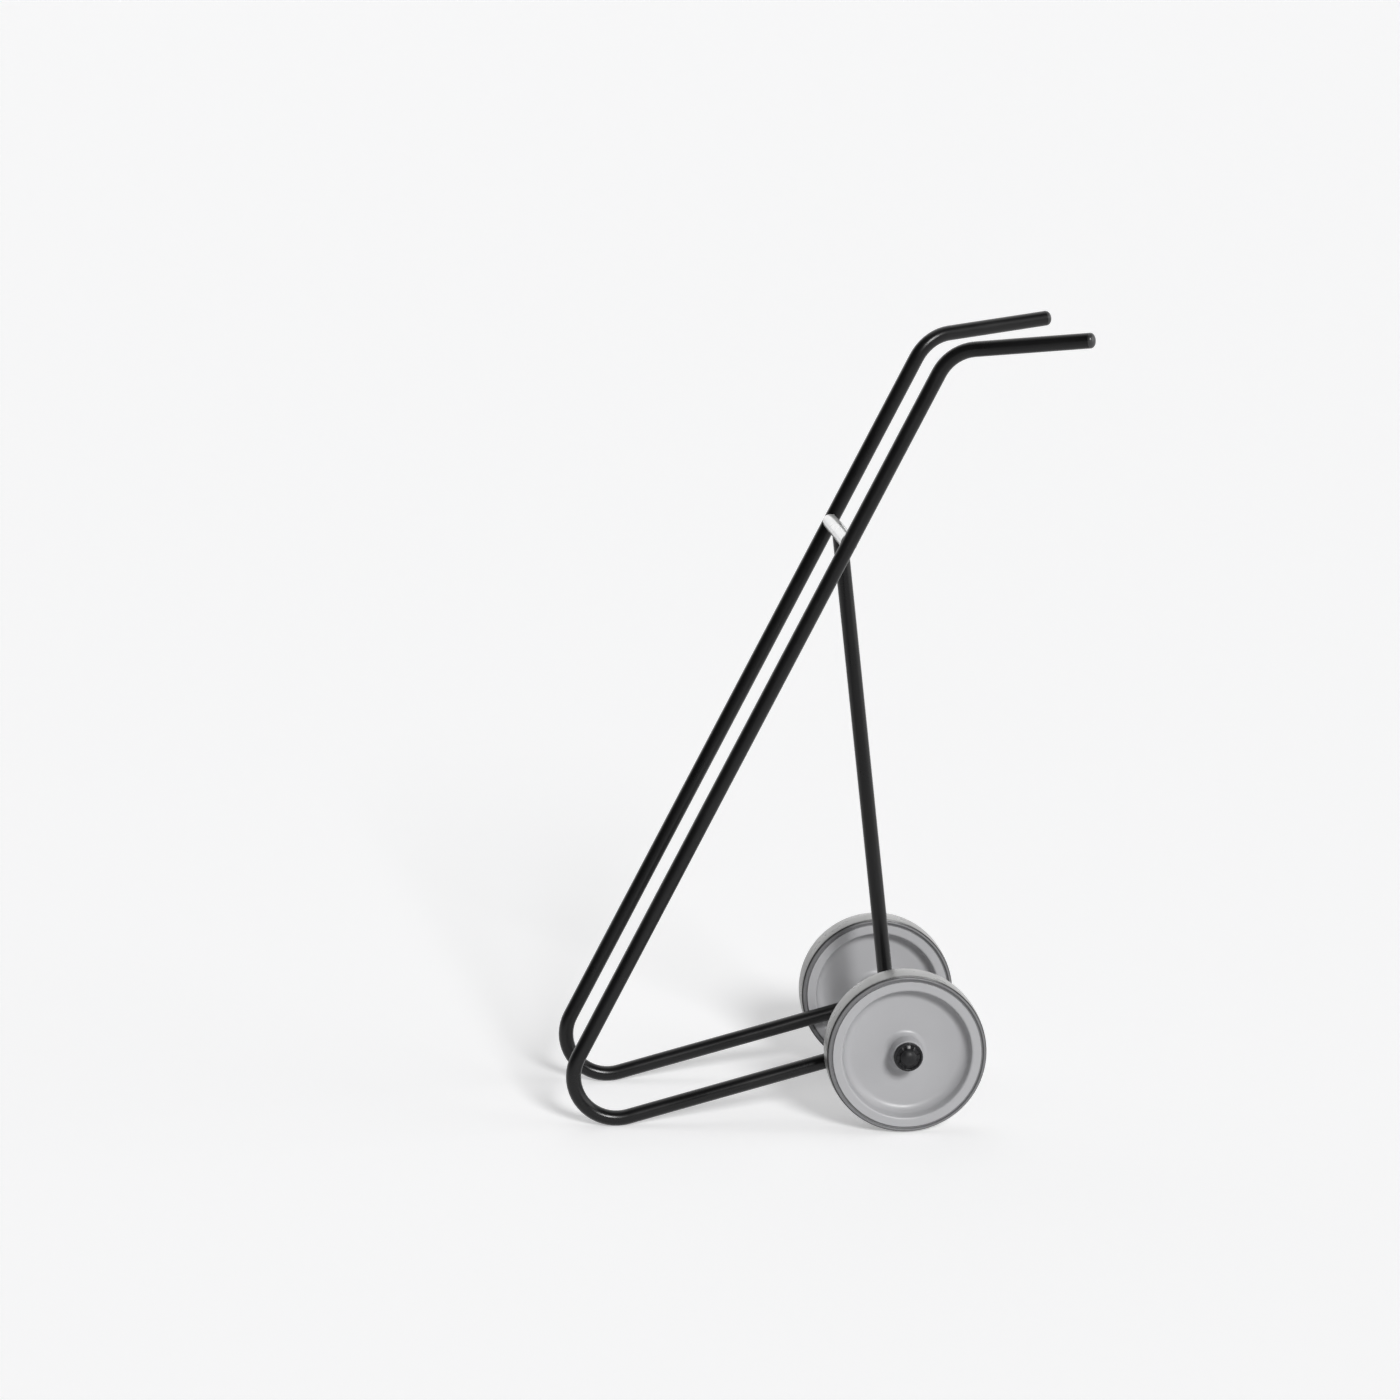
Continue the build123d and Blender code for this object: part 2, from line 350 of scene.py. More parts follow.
def merge_poles(mesh):
    """Joins the coincident points of each pole."""
    work = bmesh.new()
    work.from_mesh(mesh)
    bmesh.ops.remove_doubles(work, verts=work.verts, dist=SAME_POINT)
    work.to_mesh(mesh)
    work.free()


def new_group(name, inputs, outputs):
    """Empty shader node group with named sockets, and its input and output nodes."""
    group = bpy.data.node_groups.new(name, "ShaderNodeTree")
    for direction, sockets in (("INPUT", inputs), ("OUTPUT", outputs)):
        for label, kind, value in sockets:
            socket = group.interface.new_socket(
                label, in_out=direction, socket_type="NodeSocket" + kind)
            if value is not None:
                socket.default_value = value
    return group, group.nodes.new("NodeGroupInput"), group.nodes.new("NodeGroupOutput")


def add_node(tree, kind, values=None, links=None, **attributes):
    """Node of a tree with its attributes, socket values and incoming links set."""
    node = tree.nodes.new("ShaderNode" + kind)
    for key, value in attributes.items():
        setattr(node, key, value)
    for key, value in (values or {}).items():
        node.inputs[key].default_value = value
    for key, socket in (links or {}).items():
        tree.links.new(socket, node.inputs[key])
    return node


def grain_group():
    """Fine grain: two noises, one much finer than the other, mixed into a height."""
    group, inside, out = new_group(
        "Fine grain",
        [("Vector", "Vector", None), ("Scale", "Float", 900.0), ("Coarse share", "Float", 0.35)],
        [("Height", "Float", None)],
    )
    fine = add_node(group, "TexNoise", {"Detail": 2.0, "Roughness": 0.55},
                    {"Vector": inside.outputs["Vector"], "Scale": inside.outputs["Scale"]})
    wide = add_node(group, "Math", {1: 0.13}, {0: inside.outputs["Scale"]}, operation="MULTIPLY")
    coarse = add_node(group, "TexNoise", {"Detail": 3.0, "Roughness": 0.6},
                      {"Vector": inside.outputs["Vector"], "Scale": wide.outputs[0]})
    mix = add_node(group, "Mix", None, {
        "Factor": inside.outputs["Coarse share"],
        "A": fine.outputs["Fac"], "B": coarse.outputs["Fac"]})
    group.links.new(mix.outputs["Result"], out.inputs["Height"])
    return group


def mottle_group():
    """Soft mottling: a base colour that drifts towards a tint where a broad noise is high."""
    group, inside, out = new_group(
        "Soft mottling",
        [("Vector", "Vector", None), ("Base", "Color", (0.5, 0.5, 0.5, 1)),
         ("Tint", "Color", (0.5, 0.5, 0.5, 1)), ("Scale", "Float", 12.0), ("Amount", "Float", 0.5)],
        [("Color", "Color", None), ("Mask", "Float", None)],
    )
    noise = add_node(group, "TexNoise", {"Detail": 5.0, "Roughness": 0.6},
                     {"Vector": inside.outputs["Vector"], "Scale": inside.outputs["Scale"]})
    mask = add_node(group, "MapRange", {"From Min": 0.35, "From Max": 0.7},
                    {"Value": noise.outputs["Fac"]})
    share = add_node(group, "Math", None, {0: mask.outputs["Result"], 1: inside.outputs["Amount"]},
                     operation="MULTIPLY")
    mix = add_node(group, "Mix", None, {"Factor": share.outputs[0]}, data_type="RGBA")
    group.links.new(inside.outputs["Base"], mix.inputs[6])
    group.links.new(inside.outputs["Tint"], mix.inputs[7])
    group.links.new(mix.outputs[2], out.inputs["Color"])
    group.links.new(mask.outputs["Result"], out.inputs["Mask"])
    return group


def ring_group():
    """Ring mask: 1 beyond a distance from the axle's line, rising over a width, with a noise that
    wavers it."""
    group, inside, out = new_group(
        "Ring mask",
        [("Vector", "Vector", None), ("Axle", "Vector", (0.0, 0.0, 0.0)), ("Radius", "Float", 0.1),
         ("Width", "Float", 0.001), ("Waver", "Float", 0.0)],
        [("Mask", "Float", None)],
    )
    given = inside.outputs
    away = add_node(group, "VectorMath", None, {0: given["Vector"], 1: given["Axle"]},
                    operation="SUBTRACT")
    flat = add_node(group, "VectorMath", {1: (1.0, 0.0, 1.0)}, {0: away.outputs[0]},
                    operation="MULTIPLY")
    distance = add_node(group, "VectorMath", None, {0: flat.outputs[0]}, operation="LENGTH")
    noise = add_node(group, "TexNoise", {"Scale": 260.0, "Detail": 2.0},
                     {"Vector": given["Vector"]})
    centred = add_node(group, "Math", {1: 0.5}, {0: noise.outputs["Fac"]}, operation="SUBTRACT")
    sway = add_node(group, "Math", None, {0: centred.outputs[0], 1: given["Waver"]},
                    operation="MULTIPLY")
    moved = add_node(group, "Math", None, {0: distance.outputs["Value"], 1: sway.outputs[0]},
                     operation="ADD")
    top = add_node(group, "Math", None, {0: given["Radius"], 1: given["Width"]}, operation="ADD")
    mask = add_node(group, "MapRange", None, {
        "Value": moved.outputs[0], "From Min": given["Radius"], "From Max": top.outputs[0],
    }, interpolation_type="SMOOTHSTEP")
    group.links.new(mask.outputs["Result"], out.inputs["Mask"])
    return group


def shared(name):
    """Shader node group by name, built the first time that it is asked for."""
    makers = {
        "Fine grain": grain_group, "Soft mottling": mottle_group, "Ring mask": ring_group,
    }
    return bpy.data.node_groups.get(name) or makers[name]()


def add_group(tree, name, vector, values):
    """Shared effect placed in a material and fed with coordinates."""
    node = tree.nodes.new("ShaderNodeGroup")
    node.node_tree = shared(name)
    tree.links.new(vector, node.inputs["Vector"])
    for key, value in values.items():
        node.inputs[key].default_value = value
    return node


def rgba(colour, factor=1.0):
    """Colour with full alpha, made lighter or darker by a factor."""
    return tuple(min(1.0, c * factor) for c in colour) + (1.0,)


def made_once(name):
    """Marks the maker of a finish: it runs only if the file has no material of that name yet."""
    def mark(maker):
        @functools.wraps(maker)
        def finish():
            return bpy.data.materials.get(name) or maker(name)
        return finish
    return mark


def finish_of(name, colour, roughness, tint=1.5, spots=14.0, amount=0.5, grain=900.0, relief=0.02,
              specular=0.5, sheen=0.08, metallic=0.0, coat=0.0):
    """Finish with mottled colour, roughness that follows the mottling and a fine grain in relief.
    The relief is in millimetres."""
    material = bpy.data.materials.new(name)
    material.use_nodes = True
    tree = material.node_tree
    shader = tree.nodes["Principled BSDF"]
    shader.inputs["Specular IOR Level"].default_value = specular
    shader.inputs["Metallic"].default_value = metallic
    shader.inputs["Coat Weight"].default_value = coat
    shader.inputs["Coat Roughness"].default_value = COAT_ROUGHNESS
    place = add_node(tree, "TexCoord").outputs["Object"]
    mottle = add_group(tree, "Soft mottling", place, {
        "Base": rgba(colour), "Tint": rgba(colour, tint), "Scale": spots, "Amount": amount})
    tree.links.new(mottle.outputs["Color"], shader.inputs["Base Color"])
    rough = add_node(tree, "MapRange", {"To Min": roughness - sheen, "To Max": roughness + sheen},
                     {"Value": mottle.outputs["Mask"]})
    tree.links.new(rough.outputs["Result"], shader.inputs["Roughness"])
    height = add_group(tree, "Fine grain", place, {"Scale": grain})
    bump = add_node(tree, "Bump", {"Strength": GRAIN_STRENGTH, "Distance": relief * MM},
                    {"Height": height.outputs["Height"]})
    tree.links.new(bump.outputs["Normal"], shader.inputs["Normal"])
    return material


def ring_mask(tree, radius, width, waver=0.0):
    """Socket that is 1 beyond a distance from the axle's line."""
    ring = add_group(tree, "Ring mask", add_node(tree, "TexCoord").outputs["Object"], {
        "Axle": (AXLE.x, 0.0, AXLE.z), "Radius": radius, "Width": width, "Waver": waver})
    return ring.outputs["Mask"]


def lay_over(tree, mask, colour, factor=1.0):
    """Lays a colour over a finish where a mask is 1, and gives the node that mixes them."""
    base = tree.nodes["Principled BSDF"].inputs["Base Color"]
    mix = add_node(tree, "Mix", None, {"Factor": mask}, data_type="RGBA")
    tree.links.new(base.links[0].from_socket, mix.inputs[6])
    mix.inputs[7].default_value = rgba(colour, factor)
    tree.links.new(mix.outputs[2], base)
    return mix


def scale_roughness(tree, mask, factor):
    """Multiplies a finish's roughness by a factor where a mask is 1."""
    rough = tree.nodes["Principled BSDF"].inputs["Roughness"]
    scale = add_node(tree, "MapRange", {"To Min": 1.0, "To Max": factor}, {"Value": mask})
    scaled = add_node(tree, "Math", None, {
        0: rough.links[0].from_socket, 1: scale.outputs["Result"]}, operation="MULTIPLY")
    tree.links.new(scaled.outputs[0], rough)


@made_once("Powder coat")
def powder_coat(name):
    """Satin black powder coat with a faint orange-peel grain."""
    return finish_of(name, settings().colours.powder, roughness=0.32, tint=1.6, spots=9.0,
                     grain=1100.0, relief=0.05, specular=0.34)


@made_once("Sleeve plastic")
def sleeve_plastic(name):
    """Glossy white plastic, a little uneven in shine."""
    return finish_of(name, settings().colours.sleeve, roughness=0.32, tint=0.95, spots=20.0,
                     relief=0.01, coat=1.0)


@made_once("Plug plastic")
def plug_plastic(name):
    """Moulded black plastic of the handle plugs, greyer where hands have rubbed it."""
    return finish_of(name, settings().colours.plug, roughness=0.36, tint=1.7, spots=60.0)


@made_once("Cap steel")
def cap_steel(name):
    """Black finished spring steel, shinier on the teeth and rim than on the dome."""
    material = finish_of(name, settings().colours.cap, roughness=0.46, tint=1.8, spots=120.0,
                         specular=0.25)
    tree = material.node_tree
    teeth = ring_mask(tree, settings().cap.dome_radius, width=0.3 * MM)
    scale_roughness(tree, teeth, factor=0.65)
    return material


@made_once("Bush plastic")
def bush_plastic(name):
    """Natural nylon."""
    return finish_of(name, settings().colours.bush, roughness=0.45, tint=0.9, spots=40.0)


@made_once("Zinc steel")
def zinc_steel(name):
    """Bright zinc plate with fine turning marks across the axle."""
    material = finish_of(name, settings().colours.zinc, roughness=0.34, tint=0.8, spots=30.0,
                         metallic=1.0)
    tree = material.node_tree
    place = add_node(tree, "TexCoord").outputs["Object"]
    marks = add_node(tree, "TexWave", {"Scale": 420.0, "Distortion": 1.5, "Detail": 2.0},
                     {"Vector": place}, bands_direction="Y")
    bump = next(node for node in tree.nodes if node.type == "BUMP")
    tree.links.new(marks.outputs["Fac"], bump.inputs["Height"])
    return material


@made_once("Rim plastic")
def rim_plastic(name):
    """Light grey plastic, with painted shade that darkens its edge along the crevice at the tyre.
    """
    colour = settings().colours.rim
    material = finish_of(name, colour, roughness=0.38, tint=1.05, spots=18.0, grain=700.0)
    tree = material.node_tree
    edge = size_of("left_rim").x / 2 - 0.1 * MM
    # Painted shade: the rim's edge beside the tyre is darkened to 0.4 of its colour, along a
    # wavering line.
    lay_over(tree, ring_mask(tree, edge, width=0.3 * MM, waver=0.8 * MM), colour, factor=0.4)
    return material


@made_once("Tyre rubber")
def tyre_rubber(name):
    """Grey rubber, with painted shade that darkens the groove beside the tread nearly to black.
    Rolling has rubbed the tread paler, in streaks along its way round."""
    colours = settings().colours
    material = finish_of(name, colours.tyre, roughness=0.38, tint=1.12, spots=30.0, grain=500.0,
                         relief=0.03)
    tree = material.node_tree
    outside = size_of("left_tyre").x / 2
    # Painted shade: the groove between the side bead and the tread is darkened to 0.05 of the
    # rubber's colour.
    groove = ring_mask(tree, outside - 2.75 * MM, width=0.35 * MM, waver=0.4 * MM)
    lay_over(tree, groove, colours.tyre, factor=0.05)
    place = add_node(tree, "TexCoord").outputs["Object"]
    drawn_out = add_node(tree, "VectorMath", {1: (1.0, 9.0, 1.0)}, {0: place}, operation="MULTIPLY")
    streaks = add_group(tree, "Soft mottling", drawn_out.outputs[0], {
        "Base": rgba(colours.tread), "Tint": rgba(colours.tread, 0.78),
        "Scale": 30.0, "Amount": 0.6})
    tread = ring_mask(tree, outside - 1.5 * MM, width=0.9 * MM, waver=0.4 * MM)
    tree.links.new(streaks.outputs["Color"], lay_over(tree, tread, colours.tread).inputs[7])
    scale_roughness(tree, tread, factor=0.8)
    return material


def paint(material, *nodes):
    """Gives CAD nodes a finish."""
    for node in nodes:
        mesh = frame["nodes"][node].data
        mesh.materials.clear()
        mesh.materials.append(material)


class TrolleyOperator:
    """What every operator of the trolley shares."""

    bl_options = {"REGISTER", "UNDO"}

    def execute(self, context):
        self.make()
        return {"FINISHED"}


class TROLLEY_OT_paint_frame(TrolleyOperator, bpy.types.Operator):
    """Finish the welded tubes and the buffer sleeve"""

    bl_idname = "trolley.paint_frame"
    bl_label = "Tubes and sleeve"

    def make(self):
        paint(powder_coat(), "right_side_tube", "left_side_tube", "cross_bar", "centre_strut",
              "axle_tube")
        paint(sleeve_plastic(), "buffer_sleeve")


class TROLLEY_OT_finish_axle(TrolleyOperator, bpy.types.Operator):
    """Finish the axle rod, washers and wheel bushes"""

    bl_idname = "trolley.finish_axle"
    bl_label = "Axle rod, washers and bushes"

    def make(self):
        paint(zinc_steel(), "axle_rod")
        for side in SIDES:
            paint(zinc_steel(), side + "_inner_washer")
            paint(cap_steel(), side + "_outer_washer")
            paint(bush_plastic(), side + "_wheel_bush")


class TROLLEY_OT_make_rims(TrolleyOperator, bpy.types.Operator):
    """Turn the dished wheel centres"""

    bl_idname = "trolley.make_rims"
    bl_label = "Rims"

    def make(self):
        sizes = settings().wheel
        hub, edge = size_of("left_rim").y / 2, size_of("left_rim").x / 2
        face = size_of("left_tyre").y / 2
        floor = face - sizes.dish_depth
        bore = size_of("left_wheel_bush").x / 2 + TIGHT_FIT
        boss = size_of("left_wheel_bush").x / 2 + sizes.hub_wall
        mouth = edge - sizes.rim_lip
        half = [
            (bore, hub, sizes.edge_fillet / 3),
            (boss, hub, 2 * sizes.edge_fillet),
            (boss + sizes.hub_draft, floor, sizes.boss_fillet),
            (mouth - sizes.dish_slope, floor, sizes.floor_fillet),
            (mouth, face, sizes.mouth_fillet),
            (edge, face, sizes.edge_fillet / 2),
        ]
        other_half = [(radius, -along, fillet) for radius, along, fillet in reversed(half)]
        profile = rounded(half + other_half, closed=True)
        for side in SIDES:
            node = side + "_rim"
            shell = turned(profile, middle_of(node), ACROSS, sizes.turns, closed=True)
            add_piece(
                node + "_turned", shell, rim_plastic(), side + "_wheel", "rim_plastic", node)


def tyre_half(sizes, inside, outside, face):
    """Profile of one half of a tyre, from the middle of its seat to the middle of its tread: a
    groove beside the rim, a rounded bead, a stepped groove, and a tread whose fall grows with the
    square of the distance from its middle."""
    start, edge = face - sizes.tread_start, outside - sizes.crown
    wall = inside + sizes.rim_groove
    corners = rounded([
        (inside, 0.0, 0.0),  # middle of the seat
        (inside, face - sizes.groove_depth, 0.1 * MM),  # groove beside the rim
        (wall, face - sizes.groove_depth, 0.4 * MM),
        (wall + 0.5 * MM, face, sizes.bead * 0.3),  # side bead
        (wall + sizes.bead, face, sizes.bead * 0.5),
        (wall + sizes.bead, start + 1.2 * MM, 0.2 * MM),  # stepped groove
        (edge - sizes.tread_step, start + 0.6 * MM, 0.2 * MM),
        (edge - 0.1 * MM, start, 0.35 * MM),  # edge of the tread
        (edge + 0.1 * MM, start - 1.2 * MM, 0.0),
    ], closed=False)
    across = np.linspace(start, 0, 30)[3:]  # the rounded edge stands for the first steps
    tread = np.stack((outside - sizes.crown * (across / start) ** 2, across), 1)
    return np.concatenate((corners[:-1], tread))


class TROLLEY_OT_make_tyres(TrolleyOperator, bpy.types.Operator):
    """Turn the rubber tyres"""

    bl_idname = "trolley.make_tyres"
    bl_label = "Tyres"

    def make(self):
        sizes = settings().wheel
        size = size_of("left_tyre")
        inside = size_of("left_rim").x / 2 + TYRE_SEAT
        half = tyre_half(sizes, inside, size.x / 2, size.y / 2)
        profile = np.concatenate((half, half[-2:0:-1] * (1, -1)))
        for side in SIDES:
            node = side + "_tyre"
            shell = turned(profile, middle_of(side + "_rim"), ACROSS, sizes.turns, closed=True)
            add_piece(
                node + "_turned", shell, tyre_rubber(), side + "_wheel", "tyre_rubber", node)


def teeth_shell(sizes, inner, outer, origin, way):
    """Spring teeth round a cap: each is a plate between two radii and two angles whose height
    climbs in a straight line from the rim to the dome, and falls with the eighth power of the
    distance from its middle line, so that its sides are rounded. Its grid goes round the plate's
    section, one row for each step of its angle."""
    steps = 25
    gap = sizes.window / ((inner + outer) / 2)
    share = (1 - np.cos(np.linspace(0, np.pi, steps))) / 2
    pitch = 2 * np.pi / sizes.teeth
    angle = np.arange(sizes.teeth)[:, None] * pitch + (share - 0.5) * (pitch - gap)
    foot, top = 0.15 * MM, sizes.web + sizes.tooth_rise
    section = np.array(((outer, foot), (outer, sizes.web), (inner, top), (inner, foot)))
    fall = sizes.tooth_round * np.abs(2 * share - 1) ** 8
    heights = section[:, 1] - fall[:, None] * (0, 1, 1, 0)
    spokes = np.stack((np.cos(angle), np.zeros_like(angle), np.sin(angle)), -1)
    grid = section[:, 0, None] * spokes[:, :, None, :] + heights[None, :, :, None] * way
    points = np.asarray(origin) + grid.reshape(-1, 3)
    ring = wrapped_quads(steps, len(section), closed=False)
    first_end = np.array(((0, 1, 2, 3),))
    last_end = first_end[:, ::-1] + (steps - 1) * len(section)
    plate = np.concatenate((ring, first_end, last_end))
    plate = plate if way[1] > 0 else plate[:, ::-1]
    offsets = np.arange(sizes.teeth)[:, None, None] * (steps * len(section))
    return points, (plate + offsets).reshape(-1, 4)


class TROLLEY_OT_make_axle_caps(TrolleyOperator, bpy.types.Operator):
    """Make the push-on caps that hold the wheels"""

    bl_idname = "trolley.make_axle_caps"
    bl_label = "Axle caps"

    def make(self):
        sizes = settings().cap
        size = size_of("left_axle_cap")
        outer, height = size.x / 2, size.y
        inner = outer - sizes.rim_width
        dome = sizes.dome_radius
        bore = size_of("axle_rod").x / 2 + TIGHT_FIT
        foot = 0.1 * MM
        rim = rounded([
            (inner, foot, 0.1 * MM),
            (outer, foot, 0.5 * MM),
            (outer, sizes.rim_height, 1.2 * MM),
            (inner, sizes.rim_height, 0.8 * MM),
        ], closed=True)
        arch = np.linspace(0, np.pi / 2, 24)
        straight = sizes.dome_straight
        roof = np.stack((dome * np.cos(arch), straight + (height - straight) * np.sin(arch)), 1)
        roof[-1, 0] = 0.0
        under = height - 3.4 * MM
        inside = np.array((
            (0.0, under), (bore * 0.5, under), (bore, under), (bore, foot), (dome, foot),
        ))
        dome_profile = np.concatenate((inside, roof))
        for side, sign in SIDES.items():
            node = side + "_axle_cap"
            low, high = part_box(node)
            way = ACROSS * sign
            origin = Vector((AXLE.x, low.y if sign > 0 else high.y, AXLE.z))
            overlap = 0.3 * MM
            shells = (
                turned(rim, origin, way, SMALL_TURNS, closed=True),
                turned(dome_profile, origin, way, SMALL_TURNS, closed=False),
                teeth_shell(sizes, dome - overlap, inner + overlap, origin, way),
            )
            add_piece(
                node + "_toothed", joined(*shells), cap_steel(), "frame", "cap_steel", node)


class TROLLEY_OT_make_handle_plugs(TrolleyOperator, bpy.types.Operator):
    """Turn the domed plugs in the handle ends"""

    bl_idname = "trolley.make_handle_plugs"
    bl_label = "Handle plugs"

    def make(self):
        sizes = settings().cap
        stem, seam = TUBE_RADIUS - sizes.plug_stem_inset, sizes.plug_seam
        arch = np.linspace(0, np.pi / 2, 32)
        rise = sizes.plug_head - sizes.plug_rim
        head = np.stack(
            (TUBE_RADIUS * np.cos(arch) ** 0.9, sizes.plug_rim + rise * np.sin(arch)), 1)
        head[-1, 0] = 0.0
        foot = rounded([
            (0.0, -sizes.plug_stem, 0.0),
            (stem, -sizes.plug_stem, 1.2 * MM),
            (stem, 0.05 * MM, 0.02 * MM),
            (TUBE_RADIUS - seam, 0.05 * MM, 0.03 * MM),
            (TUBE_RADIUS, seam, 0.1 * MM),
            (TUBE_RADIUS, sizes.plug_rim, 0.0),
        ], closed=False)
        profile = np.concatenate((foot[:-1], head))
        for side in SIDES:
            node = side + "_handle_plug"
            grip = grip_of(side)
            axis = Vector(grip["axis"]).normalized()
            reach = grip["dims"]["length_mm"] * MM / 2 - sizes.plug_rim
            origin = Vector(grip["pos_m"]) + axis * reach
            shell = turned(profile, origin, axis, SMALL_TURNS, closed=False)
            add_piece(node + "_domed", shell, plug_plastic(), "frame", "plug_plastic", node)


def weld_bead(centre, host, branch, host_radius, branch_radius, size, ripples):
    """Bead round a tube end that is hollowed to fit another tube. With angle p round the branch,
    its line is centre + s * branch + r * (cos p * host + sin p * side), where s is the square root
    of R squared less r sin p squared. A small circle is carried along it, whose radius ripples
    with p and runs out where the line turns along the host's edge."""
    steps, around = 180, 12
    host, branch = unit(host), unit(branch)
    side = np.cross(host, branch)
    turn = np.arange(steps) * (2 * np.pi / steps)
    wall = np.cos(turn)[:, None] * host + np.sin(turn)[:, None] * side
    least = 0.08 * host_radius
    reach = np.sqrt(np.maximum(
        host_radius ** 2 - (branch_radius * np.sin(turn)) ** 2, least ** 2))
    line = np.asarray(centre) + reach[:, None] * branch + branch_radius * wall
    tangent = unit(np.roll(line, -1, 0) - np.roll(line, 1, 0))
    from_host = line - np.asarray(centre)
    from_host = unit(from_host - (from_host @ host)[:, None] * host)
    outwards = from_host + wall
    outwards = unit(outwards - (outwards * tangent).sum(1, keepdims=True) * tangent)
    sideways = np.cross(tangent, outwards)
    roll = np.arange(around) * (2 * np.pi / around)
    radius = size * (1 + 0.09 * np.sin(ripples * turn) + 0.06 * np.sin(5 * turn + 1))
    radius *= 1 - 0.8 * np.abs(branch_radius / host_radius * np.sin(turn)) ** 8
    circle = (np.cos(roll)[:, None] * outwards[:, None]
              + np.sin(roll)[:, None] * sideways[:, None])
    points = (line[:, None] + radius[:, None, None] * circle).reshape(-1, 3)
    return points, outward(points, wrapped_quads(steps, around, closed=True))


def side_offset():
    """Distance of a side tube's middle from the frame's middle."""
    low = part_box("right_side_tube")[0]
    return low.y + TUBE_RADIUS


def lower_run():
    """Direction of the lower runs from the axle: they touch from below the bend that rests on the
    floor, whose centre lies one bend radius in from the tube's hindmost edge."""
    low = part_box("right_side_tube")[0]
    bend = settings().tubes.bend_radius
    back = AXLE.x - (low.x + bend + TUBE_RADIUS)
    drop = AXLE.z - (bend + TUBE_RADIUS)
    slope = math.atan2(drop, back) + math.asin(bend / math.hypot(back, drop))
    return -math.cos(slope), 0.0, -math.sin(slope)


class TROLLEY_OT_make_weld_beads(TrolleyOperator, bpy.types.Operator):
    """Lay the weld beads where tubes meet"""

    bl_idname = "trolley.make_weld_beads"
    bl_label = "Weld beads"

    def make(self):
        sizes = settings().tubes
        bar = middle_of("cross_bar")
        axle_radius = size_of("axle_tube").x / 2
        upright = (math.cos(sizes.upright_slope), 0.0, math.sin(sizes.upright_slope))
        strut = Vector((bar.x - AXLE.x, 0.0, bar.z - AXLE.z)).normalized()
        bar_bead = TUBE_RADIUS, TUBE_RADIUS, sizes.bar_weld, sizes.weld_ripples
        axle_bead = axle_radius, TUBE_RADIUS, sizes.weld, sizes.weld_ripples
        beads = {
            "strut_top_weld": weld_bead(bar, ACROSS, -strut, *bar_bead),
            "strut_foot_weld": weld_bead(AXLE, ACROSS, strut, *axle_bead),
        }
        for side, sign in SIDES.items():
            tube = Vector((0.0, sign * side_offset(), 0.0))
            beads[side + "_bar_weld"] = weld_bead(bar + tube, upright, -sign * ACROSS, *bar_bead)
            beads[side + "_axle_weld"] = weld_bead(AXLE + tube, ACROSS, lower_run(), *axle_bead)
        for name, shell in beads.items():
            add_piece(name, shell, powder_coat(), "frame", "frame_paint")


def floor_material():
    """Pale floor. Light Path lifts it for the camera and for reflections, and the shadow stays."""
    stage = settings().stage
    material = bpy.data.materials.new("Studio floor")
    material.use_nodes = True
    tree = material.node_tree
    shader = tree.nodes["Principled BSDF"]
    shader.inputs["Base Color"].default_value = rgba(stage.floor_colour)
    shader.inputs["Roughness"].default_value = 0.9
    shader.inputs["Specular IOR Level"].default_value = 0.1
    shader.inputs["Emission Color"].default_value = rgba(stage.backdrop)
    seen = seen_directly(tree, add_node(tree, "TexCoord").outputs["Object"], *DARK_FLOOR)
    lift = add_node(tree, "Math", {1: stage.floor_lift}, {0: seen}, operation="MULTIPLY")
    tree.links.new(lift.outputs[0], shader.inputs["Emission Strength"])
    return material


def seen_directly(tree, place, start, end):
    """Socket that is 1 for rays from the camera, in reflections and through clear pieces. In
    reflections it falls to 0 towards the room's dark side, between two distances of the place along
    that direction."""
    path = add_node(tree, "LightPath").outputs
    towards = add_node(tree, "VectorMath", {1: settings().stage.dark_side}, {0: place},
                       operation="DOT_PRODUCT")
    mirrored = add_node(
        tree, "MapRange", {"From Min": start, "From Max": end, "To Max": 0.0},
        {"Value": towards.outputs["Value"], "To Min": path["Is Glossy Ray"]},
        interpolation_type="SMOOTHSTEP")
    passed = add_node(tree, "Math", None, {
        0: mirrored.outputs["Result"], 1: path["Is Transmission Ray"]}, operation="MAXIMUM")
    seen = add_node(tree, "Math", None, {
        0: passed.outputs[0], 1: path["Is Camera Ray"]}, operation="MAXIMUM")
    return seen.outputs[0]


def set_world(stage):
    """Pale surroundings: the backdrop's colour where it is seen, and a plain fill light for the
    rest."""
    world = bpy.data.worlds.new("Studio")
    world.use_nodes = True
    bpy.context.scene.world = world
    tree = world.node_tree
    direction = add_node(tree, "TexCoord").outputs["Generated"]
    seen = seen_directly(tree, direction, *DARK_ROOM)
    mix = add_node(tree, "Mix", None, {"Factor": seen}, data_type="RGBA")
    mix.inputs[6].default_value = (stage.fill, stage.fill, stage.fill, 1.0)
    mix.inputs[7].default_value = rgba(stage.backdrop)
    tree.links.new(mix.outputs[2], tree.nodes["Background"].inputs["Color"])


def set_lamps(stage):
    """Soft key light from the front, and wide ones from the right, from above and from behind."""
    for name in ("key", "side", "top", "back"):
        lamp = bpy.data.lights.new(name.capitalize(), "SUN")
        lamp.energy = getattr(stage, name)
        lamp.angle = getattr(stage, name + "_spread")
        place = bpy.data.objects.new(name.capitalize(), lamp)
        towards = Vector(getattr(stage, name + "_from"))
        place.rotation_euler = towards.to_track_quat("Z", "Y").to_euler()
        bpy.context.scene.collection.objects.link(place)


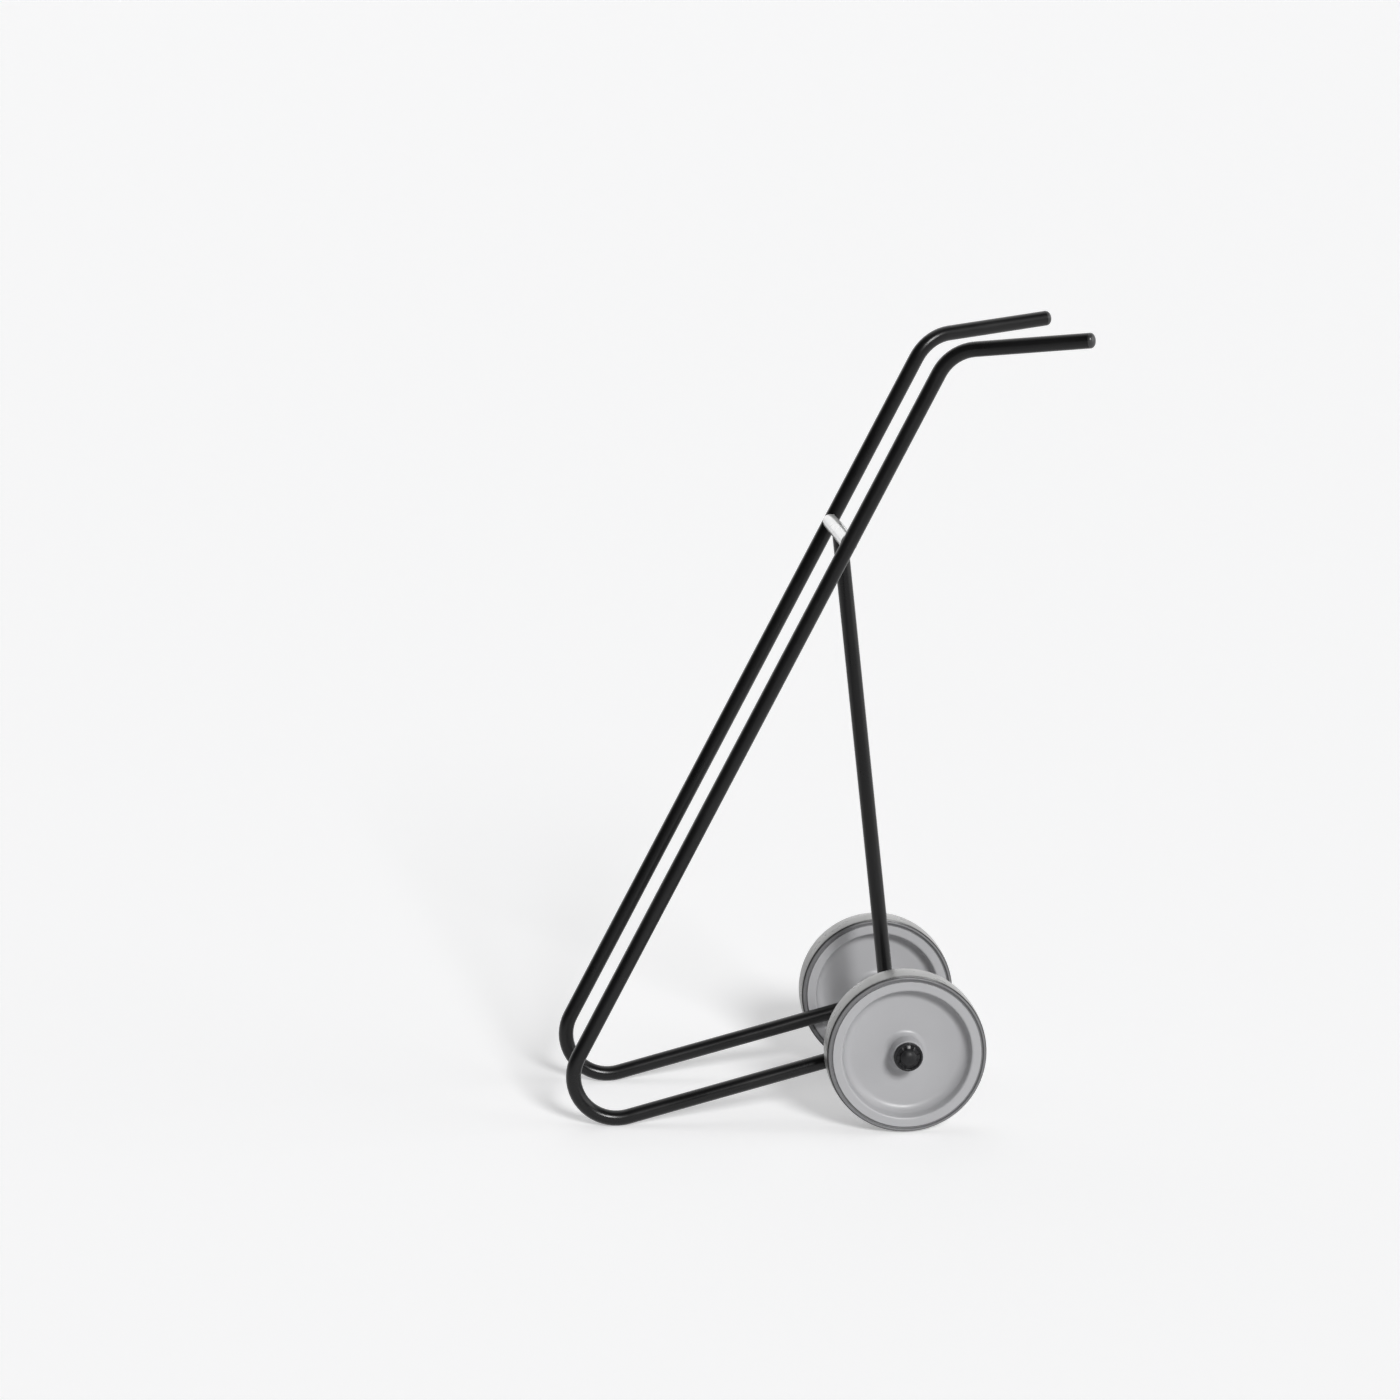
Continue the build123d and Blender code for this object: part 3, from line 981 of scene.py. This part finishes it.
def set_camera(stage):
    """Camera at the photograph's viewing angle."""
    turn, rise, roll = stage.camera_turn, stage.camera_rise, stage.camera_roll
    level = math.cos(rise)
    back = Vector((math.sin(turn) * level, -math.cos(turn) * level, math.sin(rise)))
    right = Vector((math.cos(turn), math.sin(turn), 0.0))
    up = back.cross(right)
    rolled_right = math.cos(roll) * right + math.sin(roll) * up
    rolled_up = -math.sin(roll) * right + math.cos(roll) * up
    aim = Vector((AXLE.x, 0.0, 0.0)) + Vector(stage.camera_aim)
    place = aim + back * stage.camera_distance
    lens = bpy.data.cameras.new("Camera")
    lens.lens = stage.camera_lens
    lens.sensor_width = 36.0
    lens.clip_end = 4000.0
    camera = bpy.data.objects.new("Camera", lens)
    turned_axes = Matrix((rolled_right, rolled_up, back)).transposed()
    camera.matrix_world = Matrix.Translation(place) @ turned_axes.to_4x4()
    bpy.context.scene.collection.objects.link(camera)
    bpy.context.scene.camera = camera


class TROLLEY_OT_set_stage(TrolleyOperator, bpy.types.Operator):
    """Lay the floor, set the light and place the camera"""

    bl_idname = "trolley.set_stage"
    bl_label = "Stage"

    def make(self):
        stage = settings().stage
        half = stage.floor_size / 2
        mesh = bpy.data.meshes.new("Floor")
        corners = [(-half, -half, 0), (half, -half, 0), (half, half, 0), (-half, half, 0)]
        mesh.from_pydata(corners, [], [(0, 1, 2, 3)])
        mesh.materials.append(floor_material())
        floor = bpy.data.objects.new("Floor", mesh)
        bpy.context.scene.collection.objects.link(floor)
        set_world(stage)
        set_lamps(stage)
        set_camera(stage)
        bpy.context.scene.view_settings.view_transform = "Standard"


OPERATORS = (
    TROLLEY_OT_paint_frame,
    TROLLEY_OT_finish_axle,
    TROLLEY_OT_make_rims,
    TROLLEY_OT_make_tyres,
    TROLLEY_OT_make_axle_caps,
    TROLLEY_OT_make_handle_plugs,
    TROLLEY_OT_make_weld_beads,
    TROLLEY_OT_set_stage,
)


class TROLLEY_PT_sidebar(bpy.types.Panel):
    """Lists the trolley's steps and settings"""

    bl_label = "Stool trolley"
    bl_idname = "TROLLEY_PT_sidebar"
    bl_space_type = "VIEW_3D"
    bl_region_type = "UI"
    bl_category = "Trolley"

    def draw(self, context):
        for operator in OPERATORS:
            self.layout.operator(operator.bl_idname)
        for group in ("wheel", "cap", "tubes", "colours", "stage"):
            box = self.layout.box()
            values = getattr(context.scene.trolley, group)
            for name in values.__annotations__:
                box.prop(values, name)


CLASSES = (
    TrolleyWheelSizes,
    TrolleyCapSizes,
    TrolleyFrameSizes,
    TrolleyColours,
    TrolleyStage,
    TrolleySettings,
    *OPERATORS,
    TROLLEY_PT_sidebar,
)


def register():
    """Registers the classes and the scene's settings."""
    for cls in CLASSES:
        bpy.utils.register_class(cls)
    bpy.types.Scene.trolley = PointerProperty(type=TrolleySettings)


def unregister():
    """Takes the settings and classes away again."""
    del bpy.types.Scene.trolley
    for cls in reversed(CLASSES):
        bpy.utils.unregister_class(cls)


def main():
    """Registers the add-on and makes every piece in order."""
    register()
    for operator in OPERATORS:
        group, name = operator.bl_idname.split(".")
        getattr(getattr(bpy.ops, group), name)()


if __name__ == "__main__":
    main()
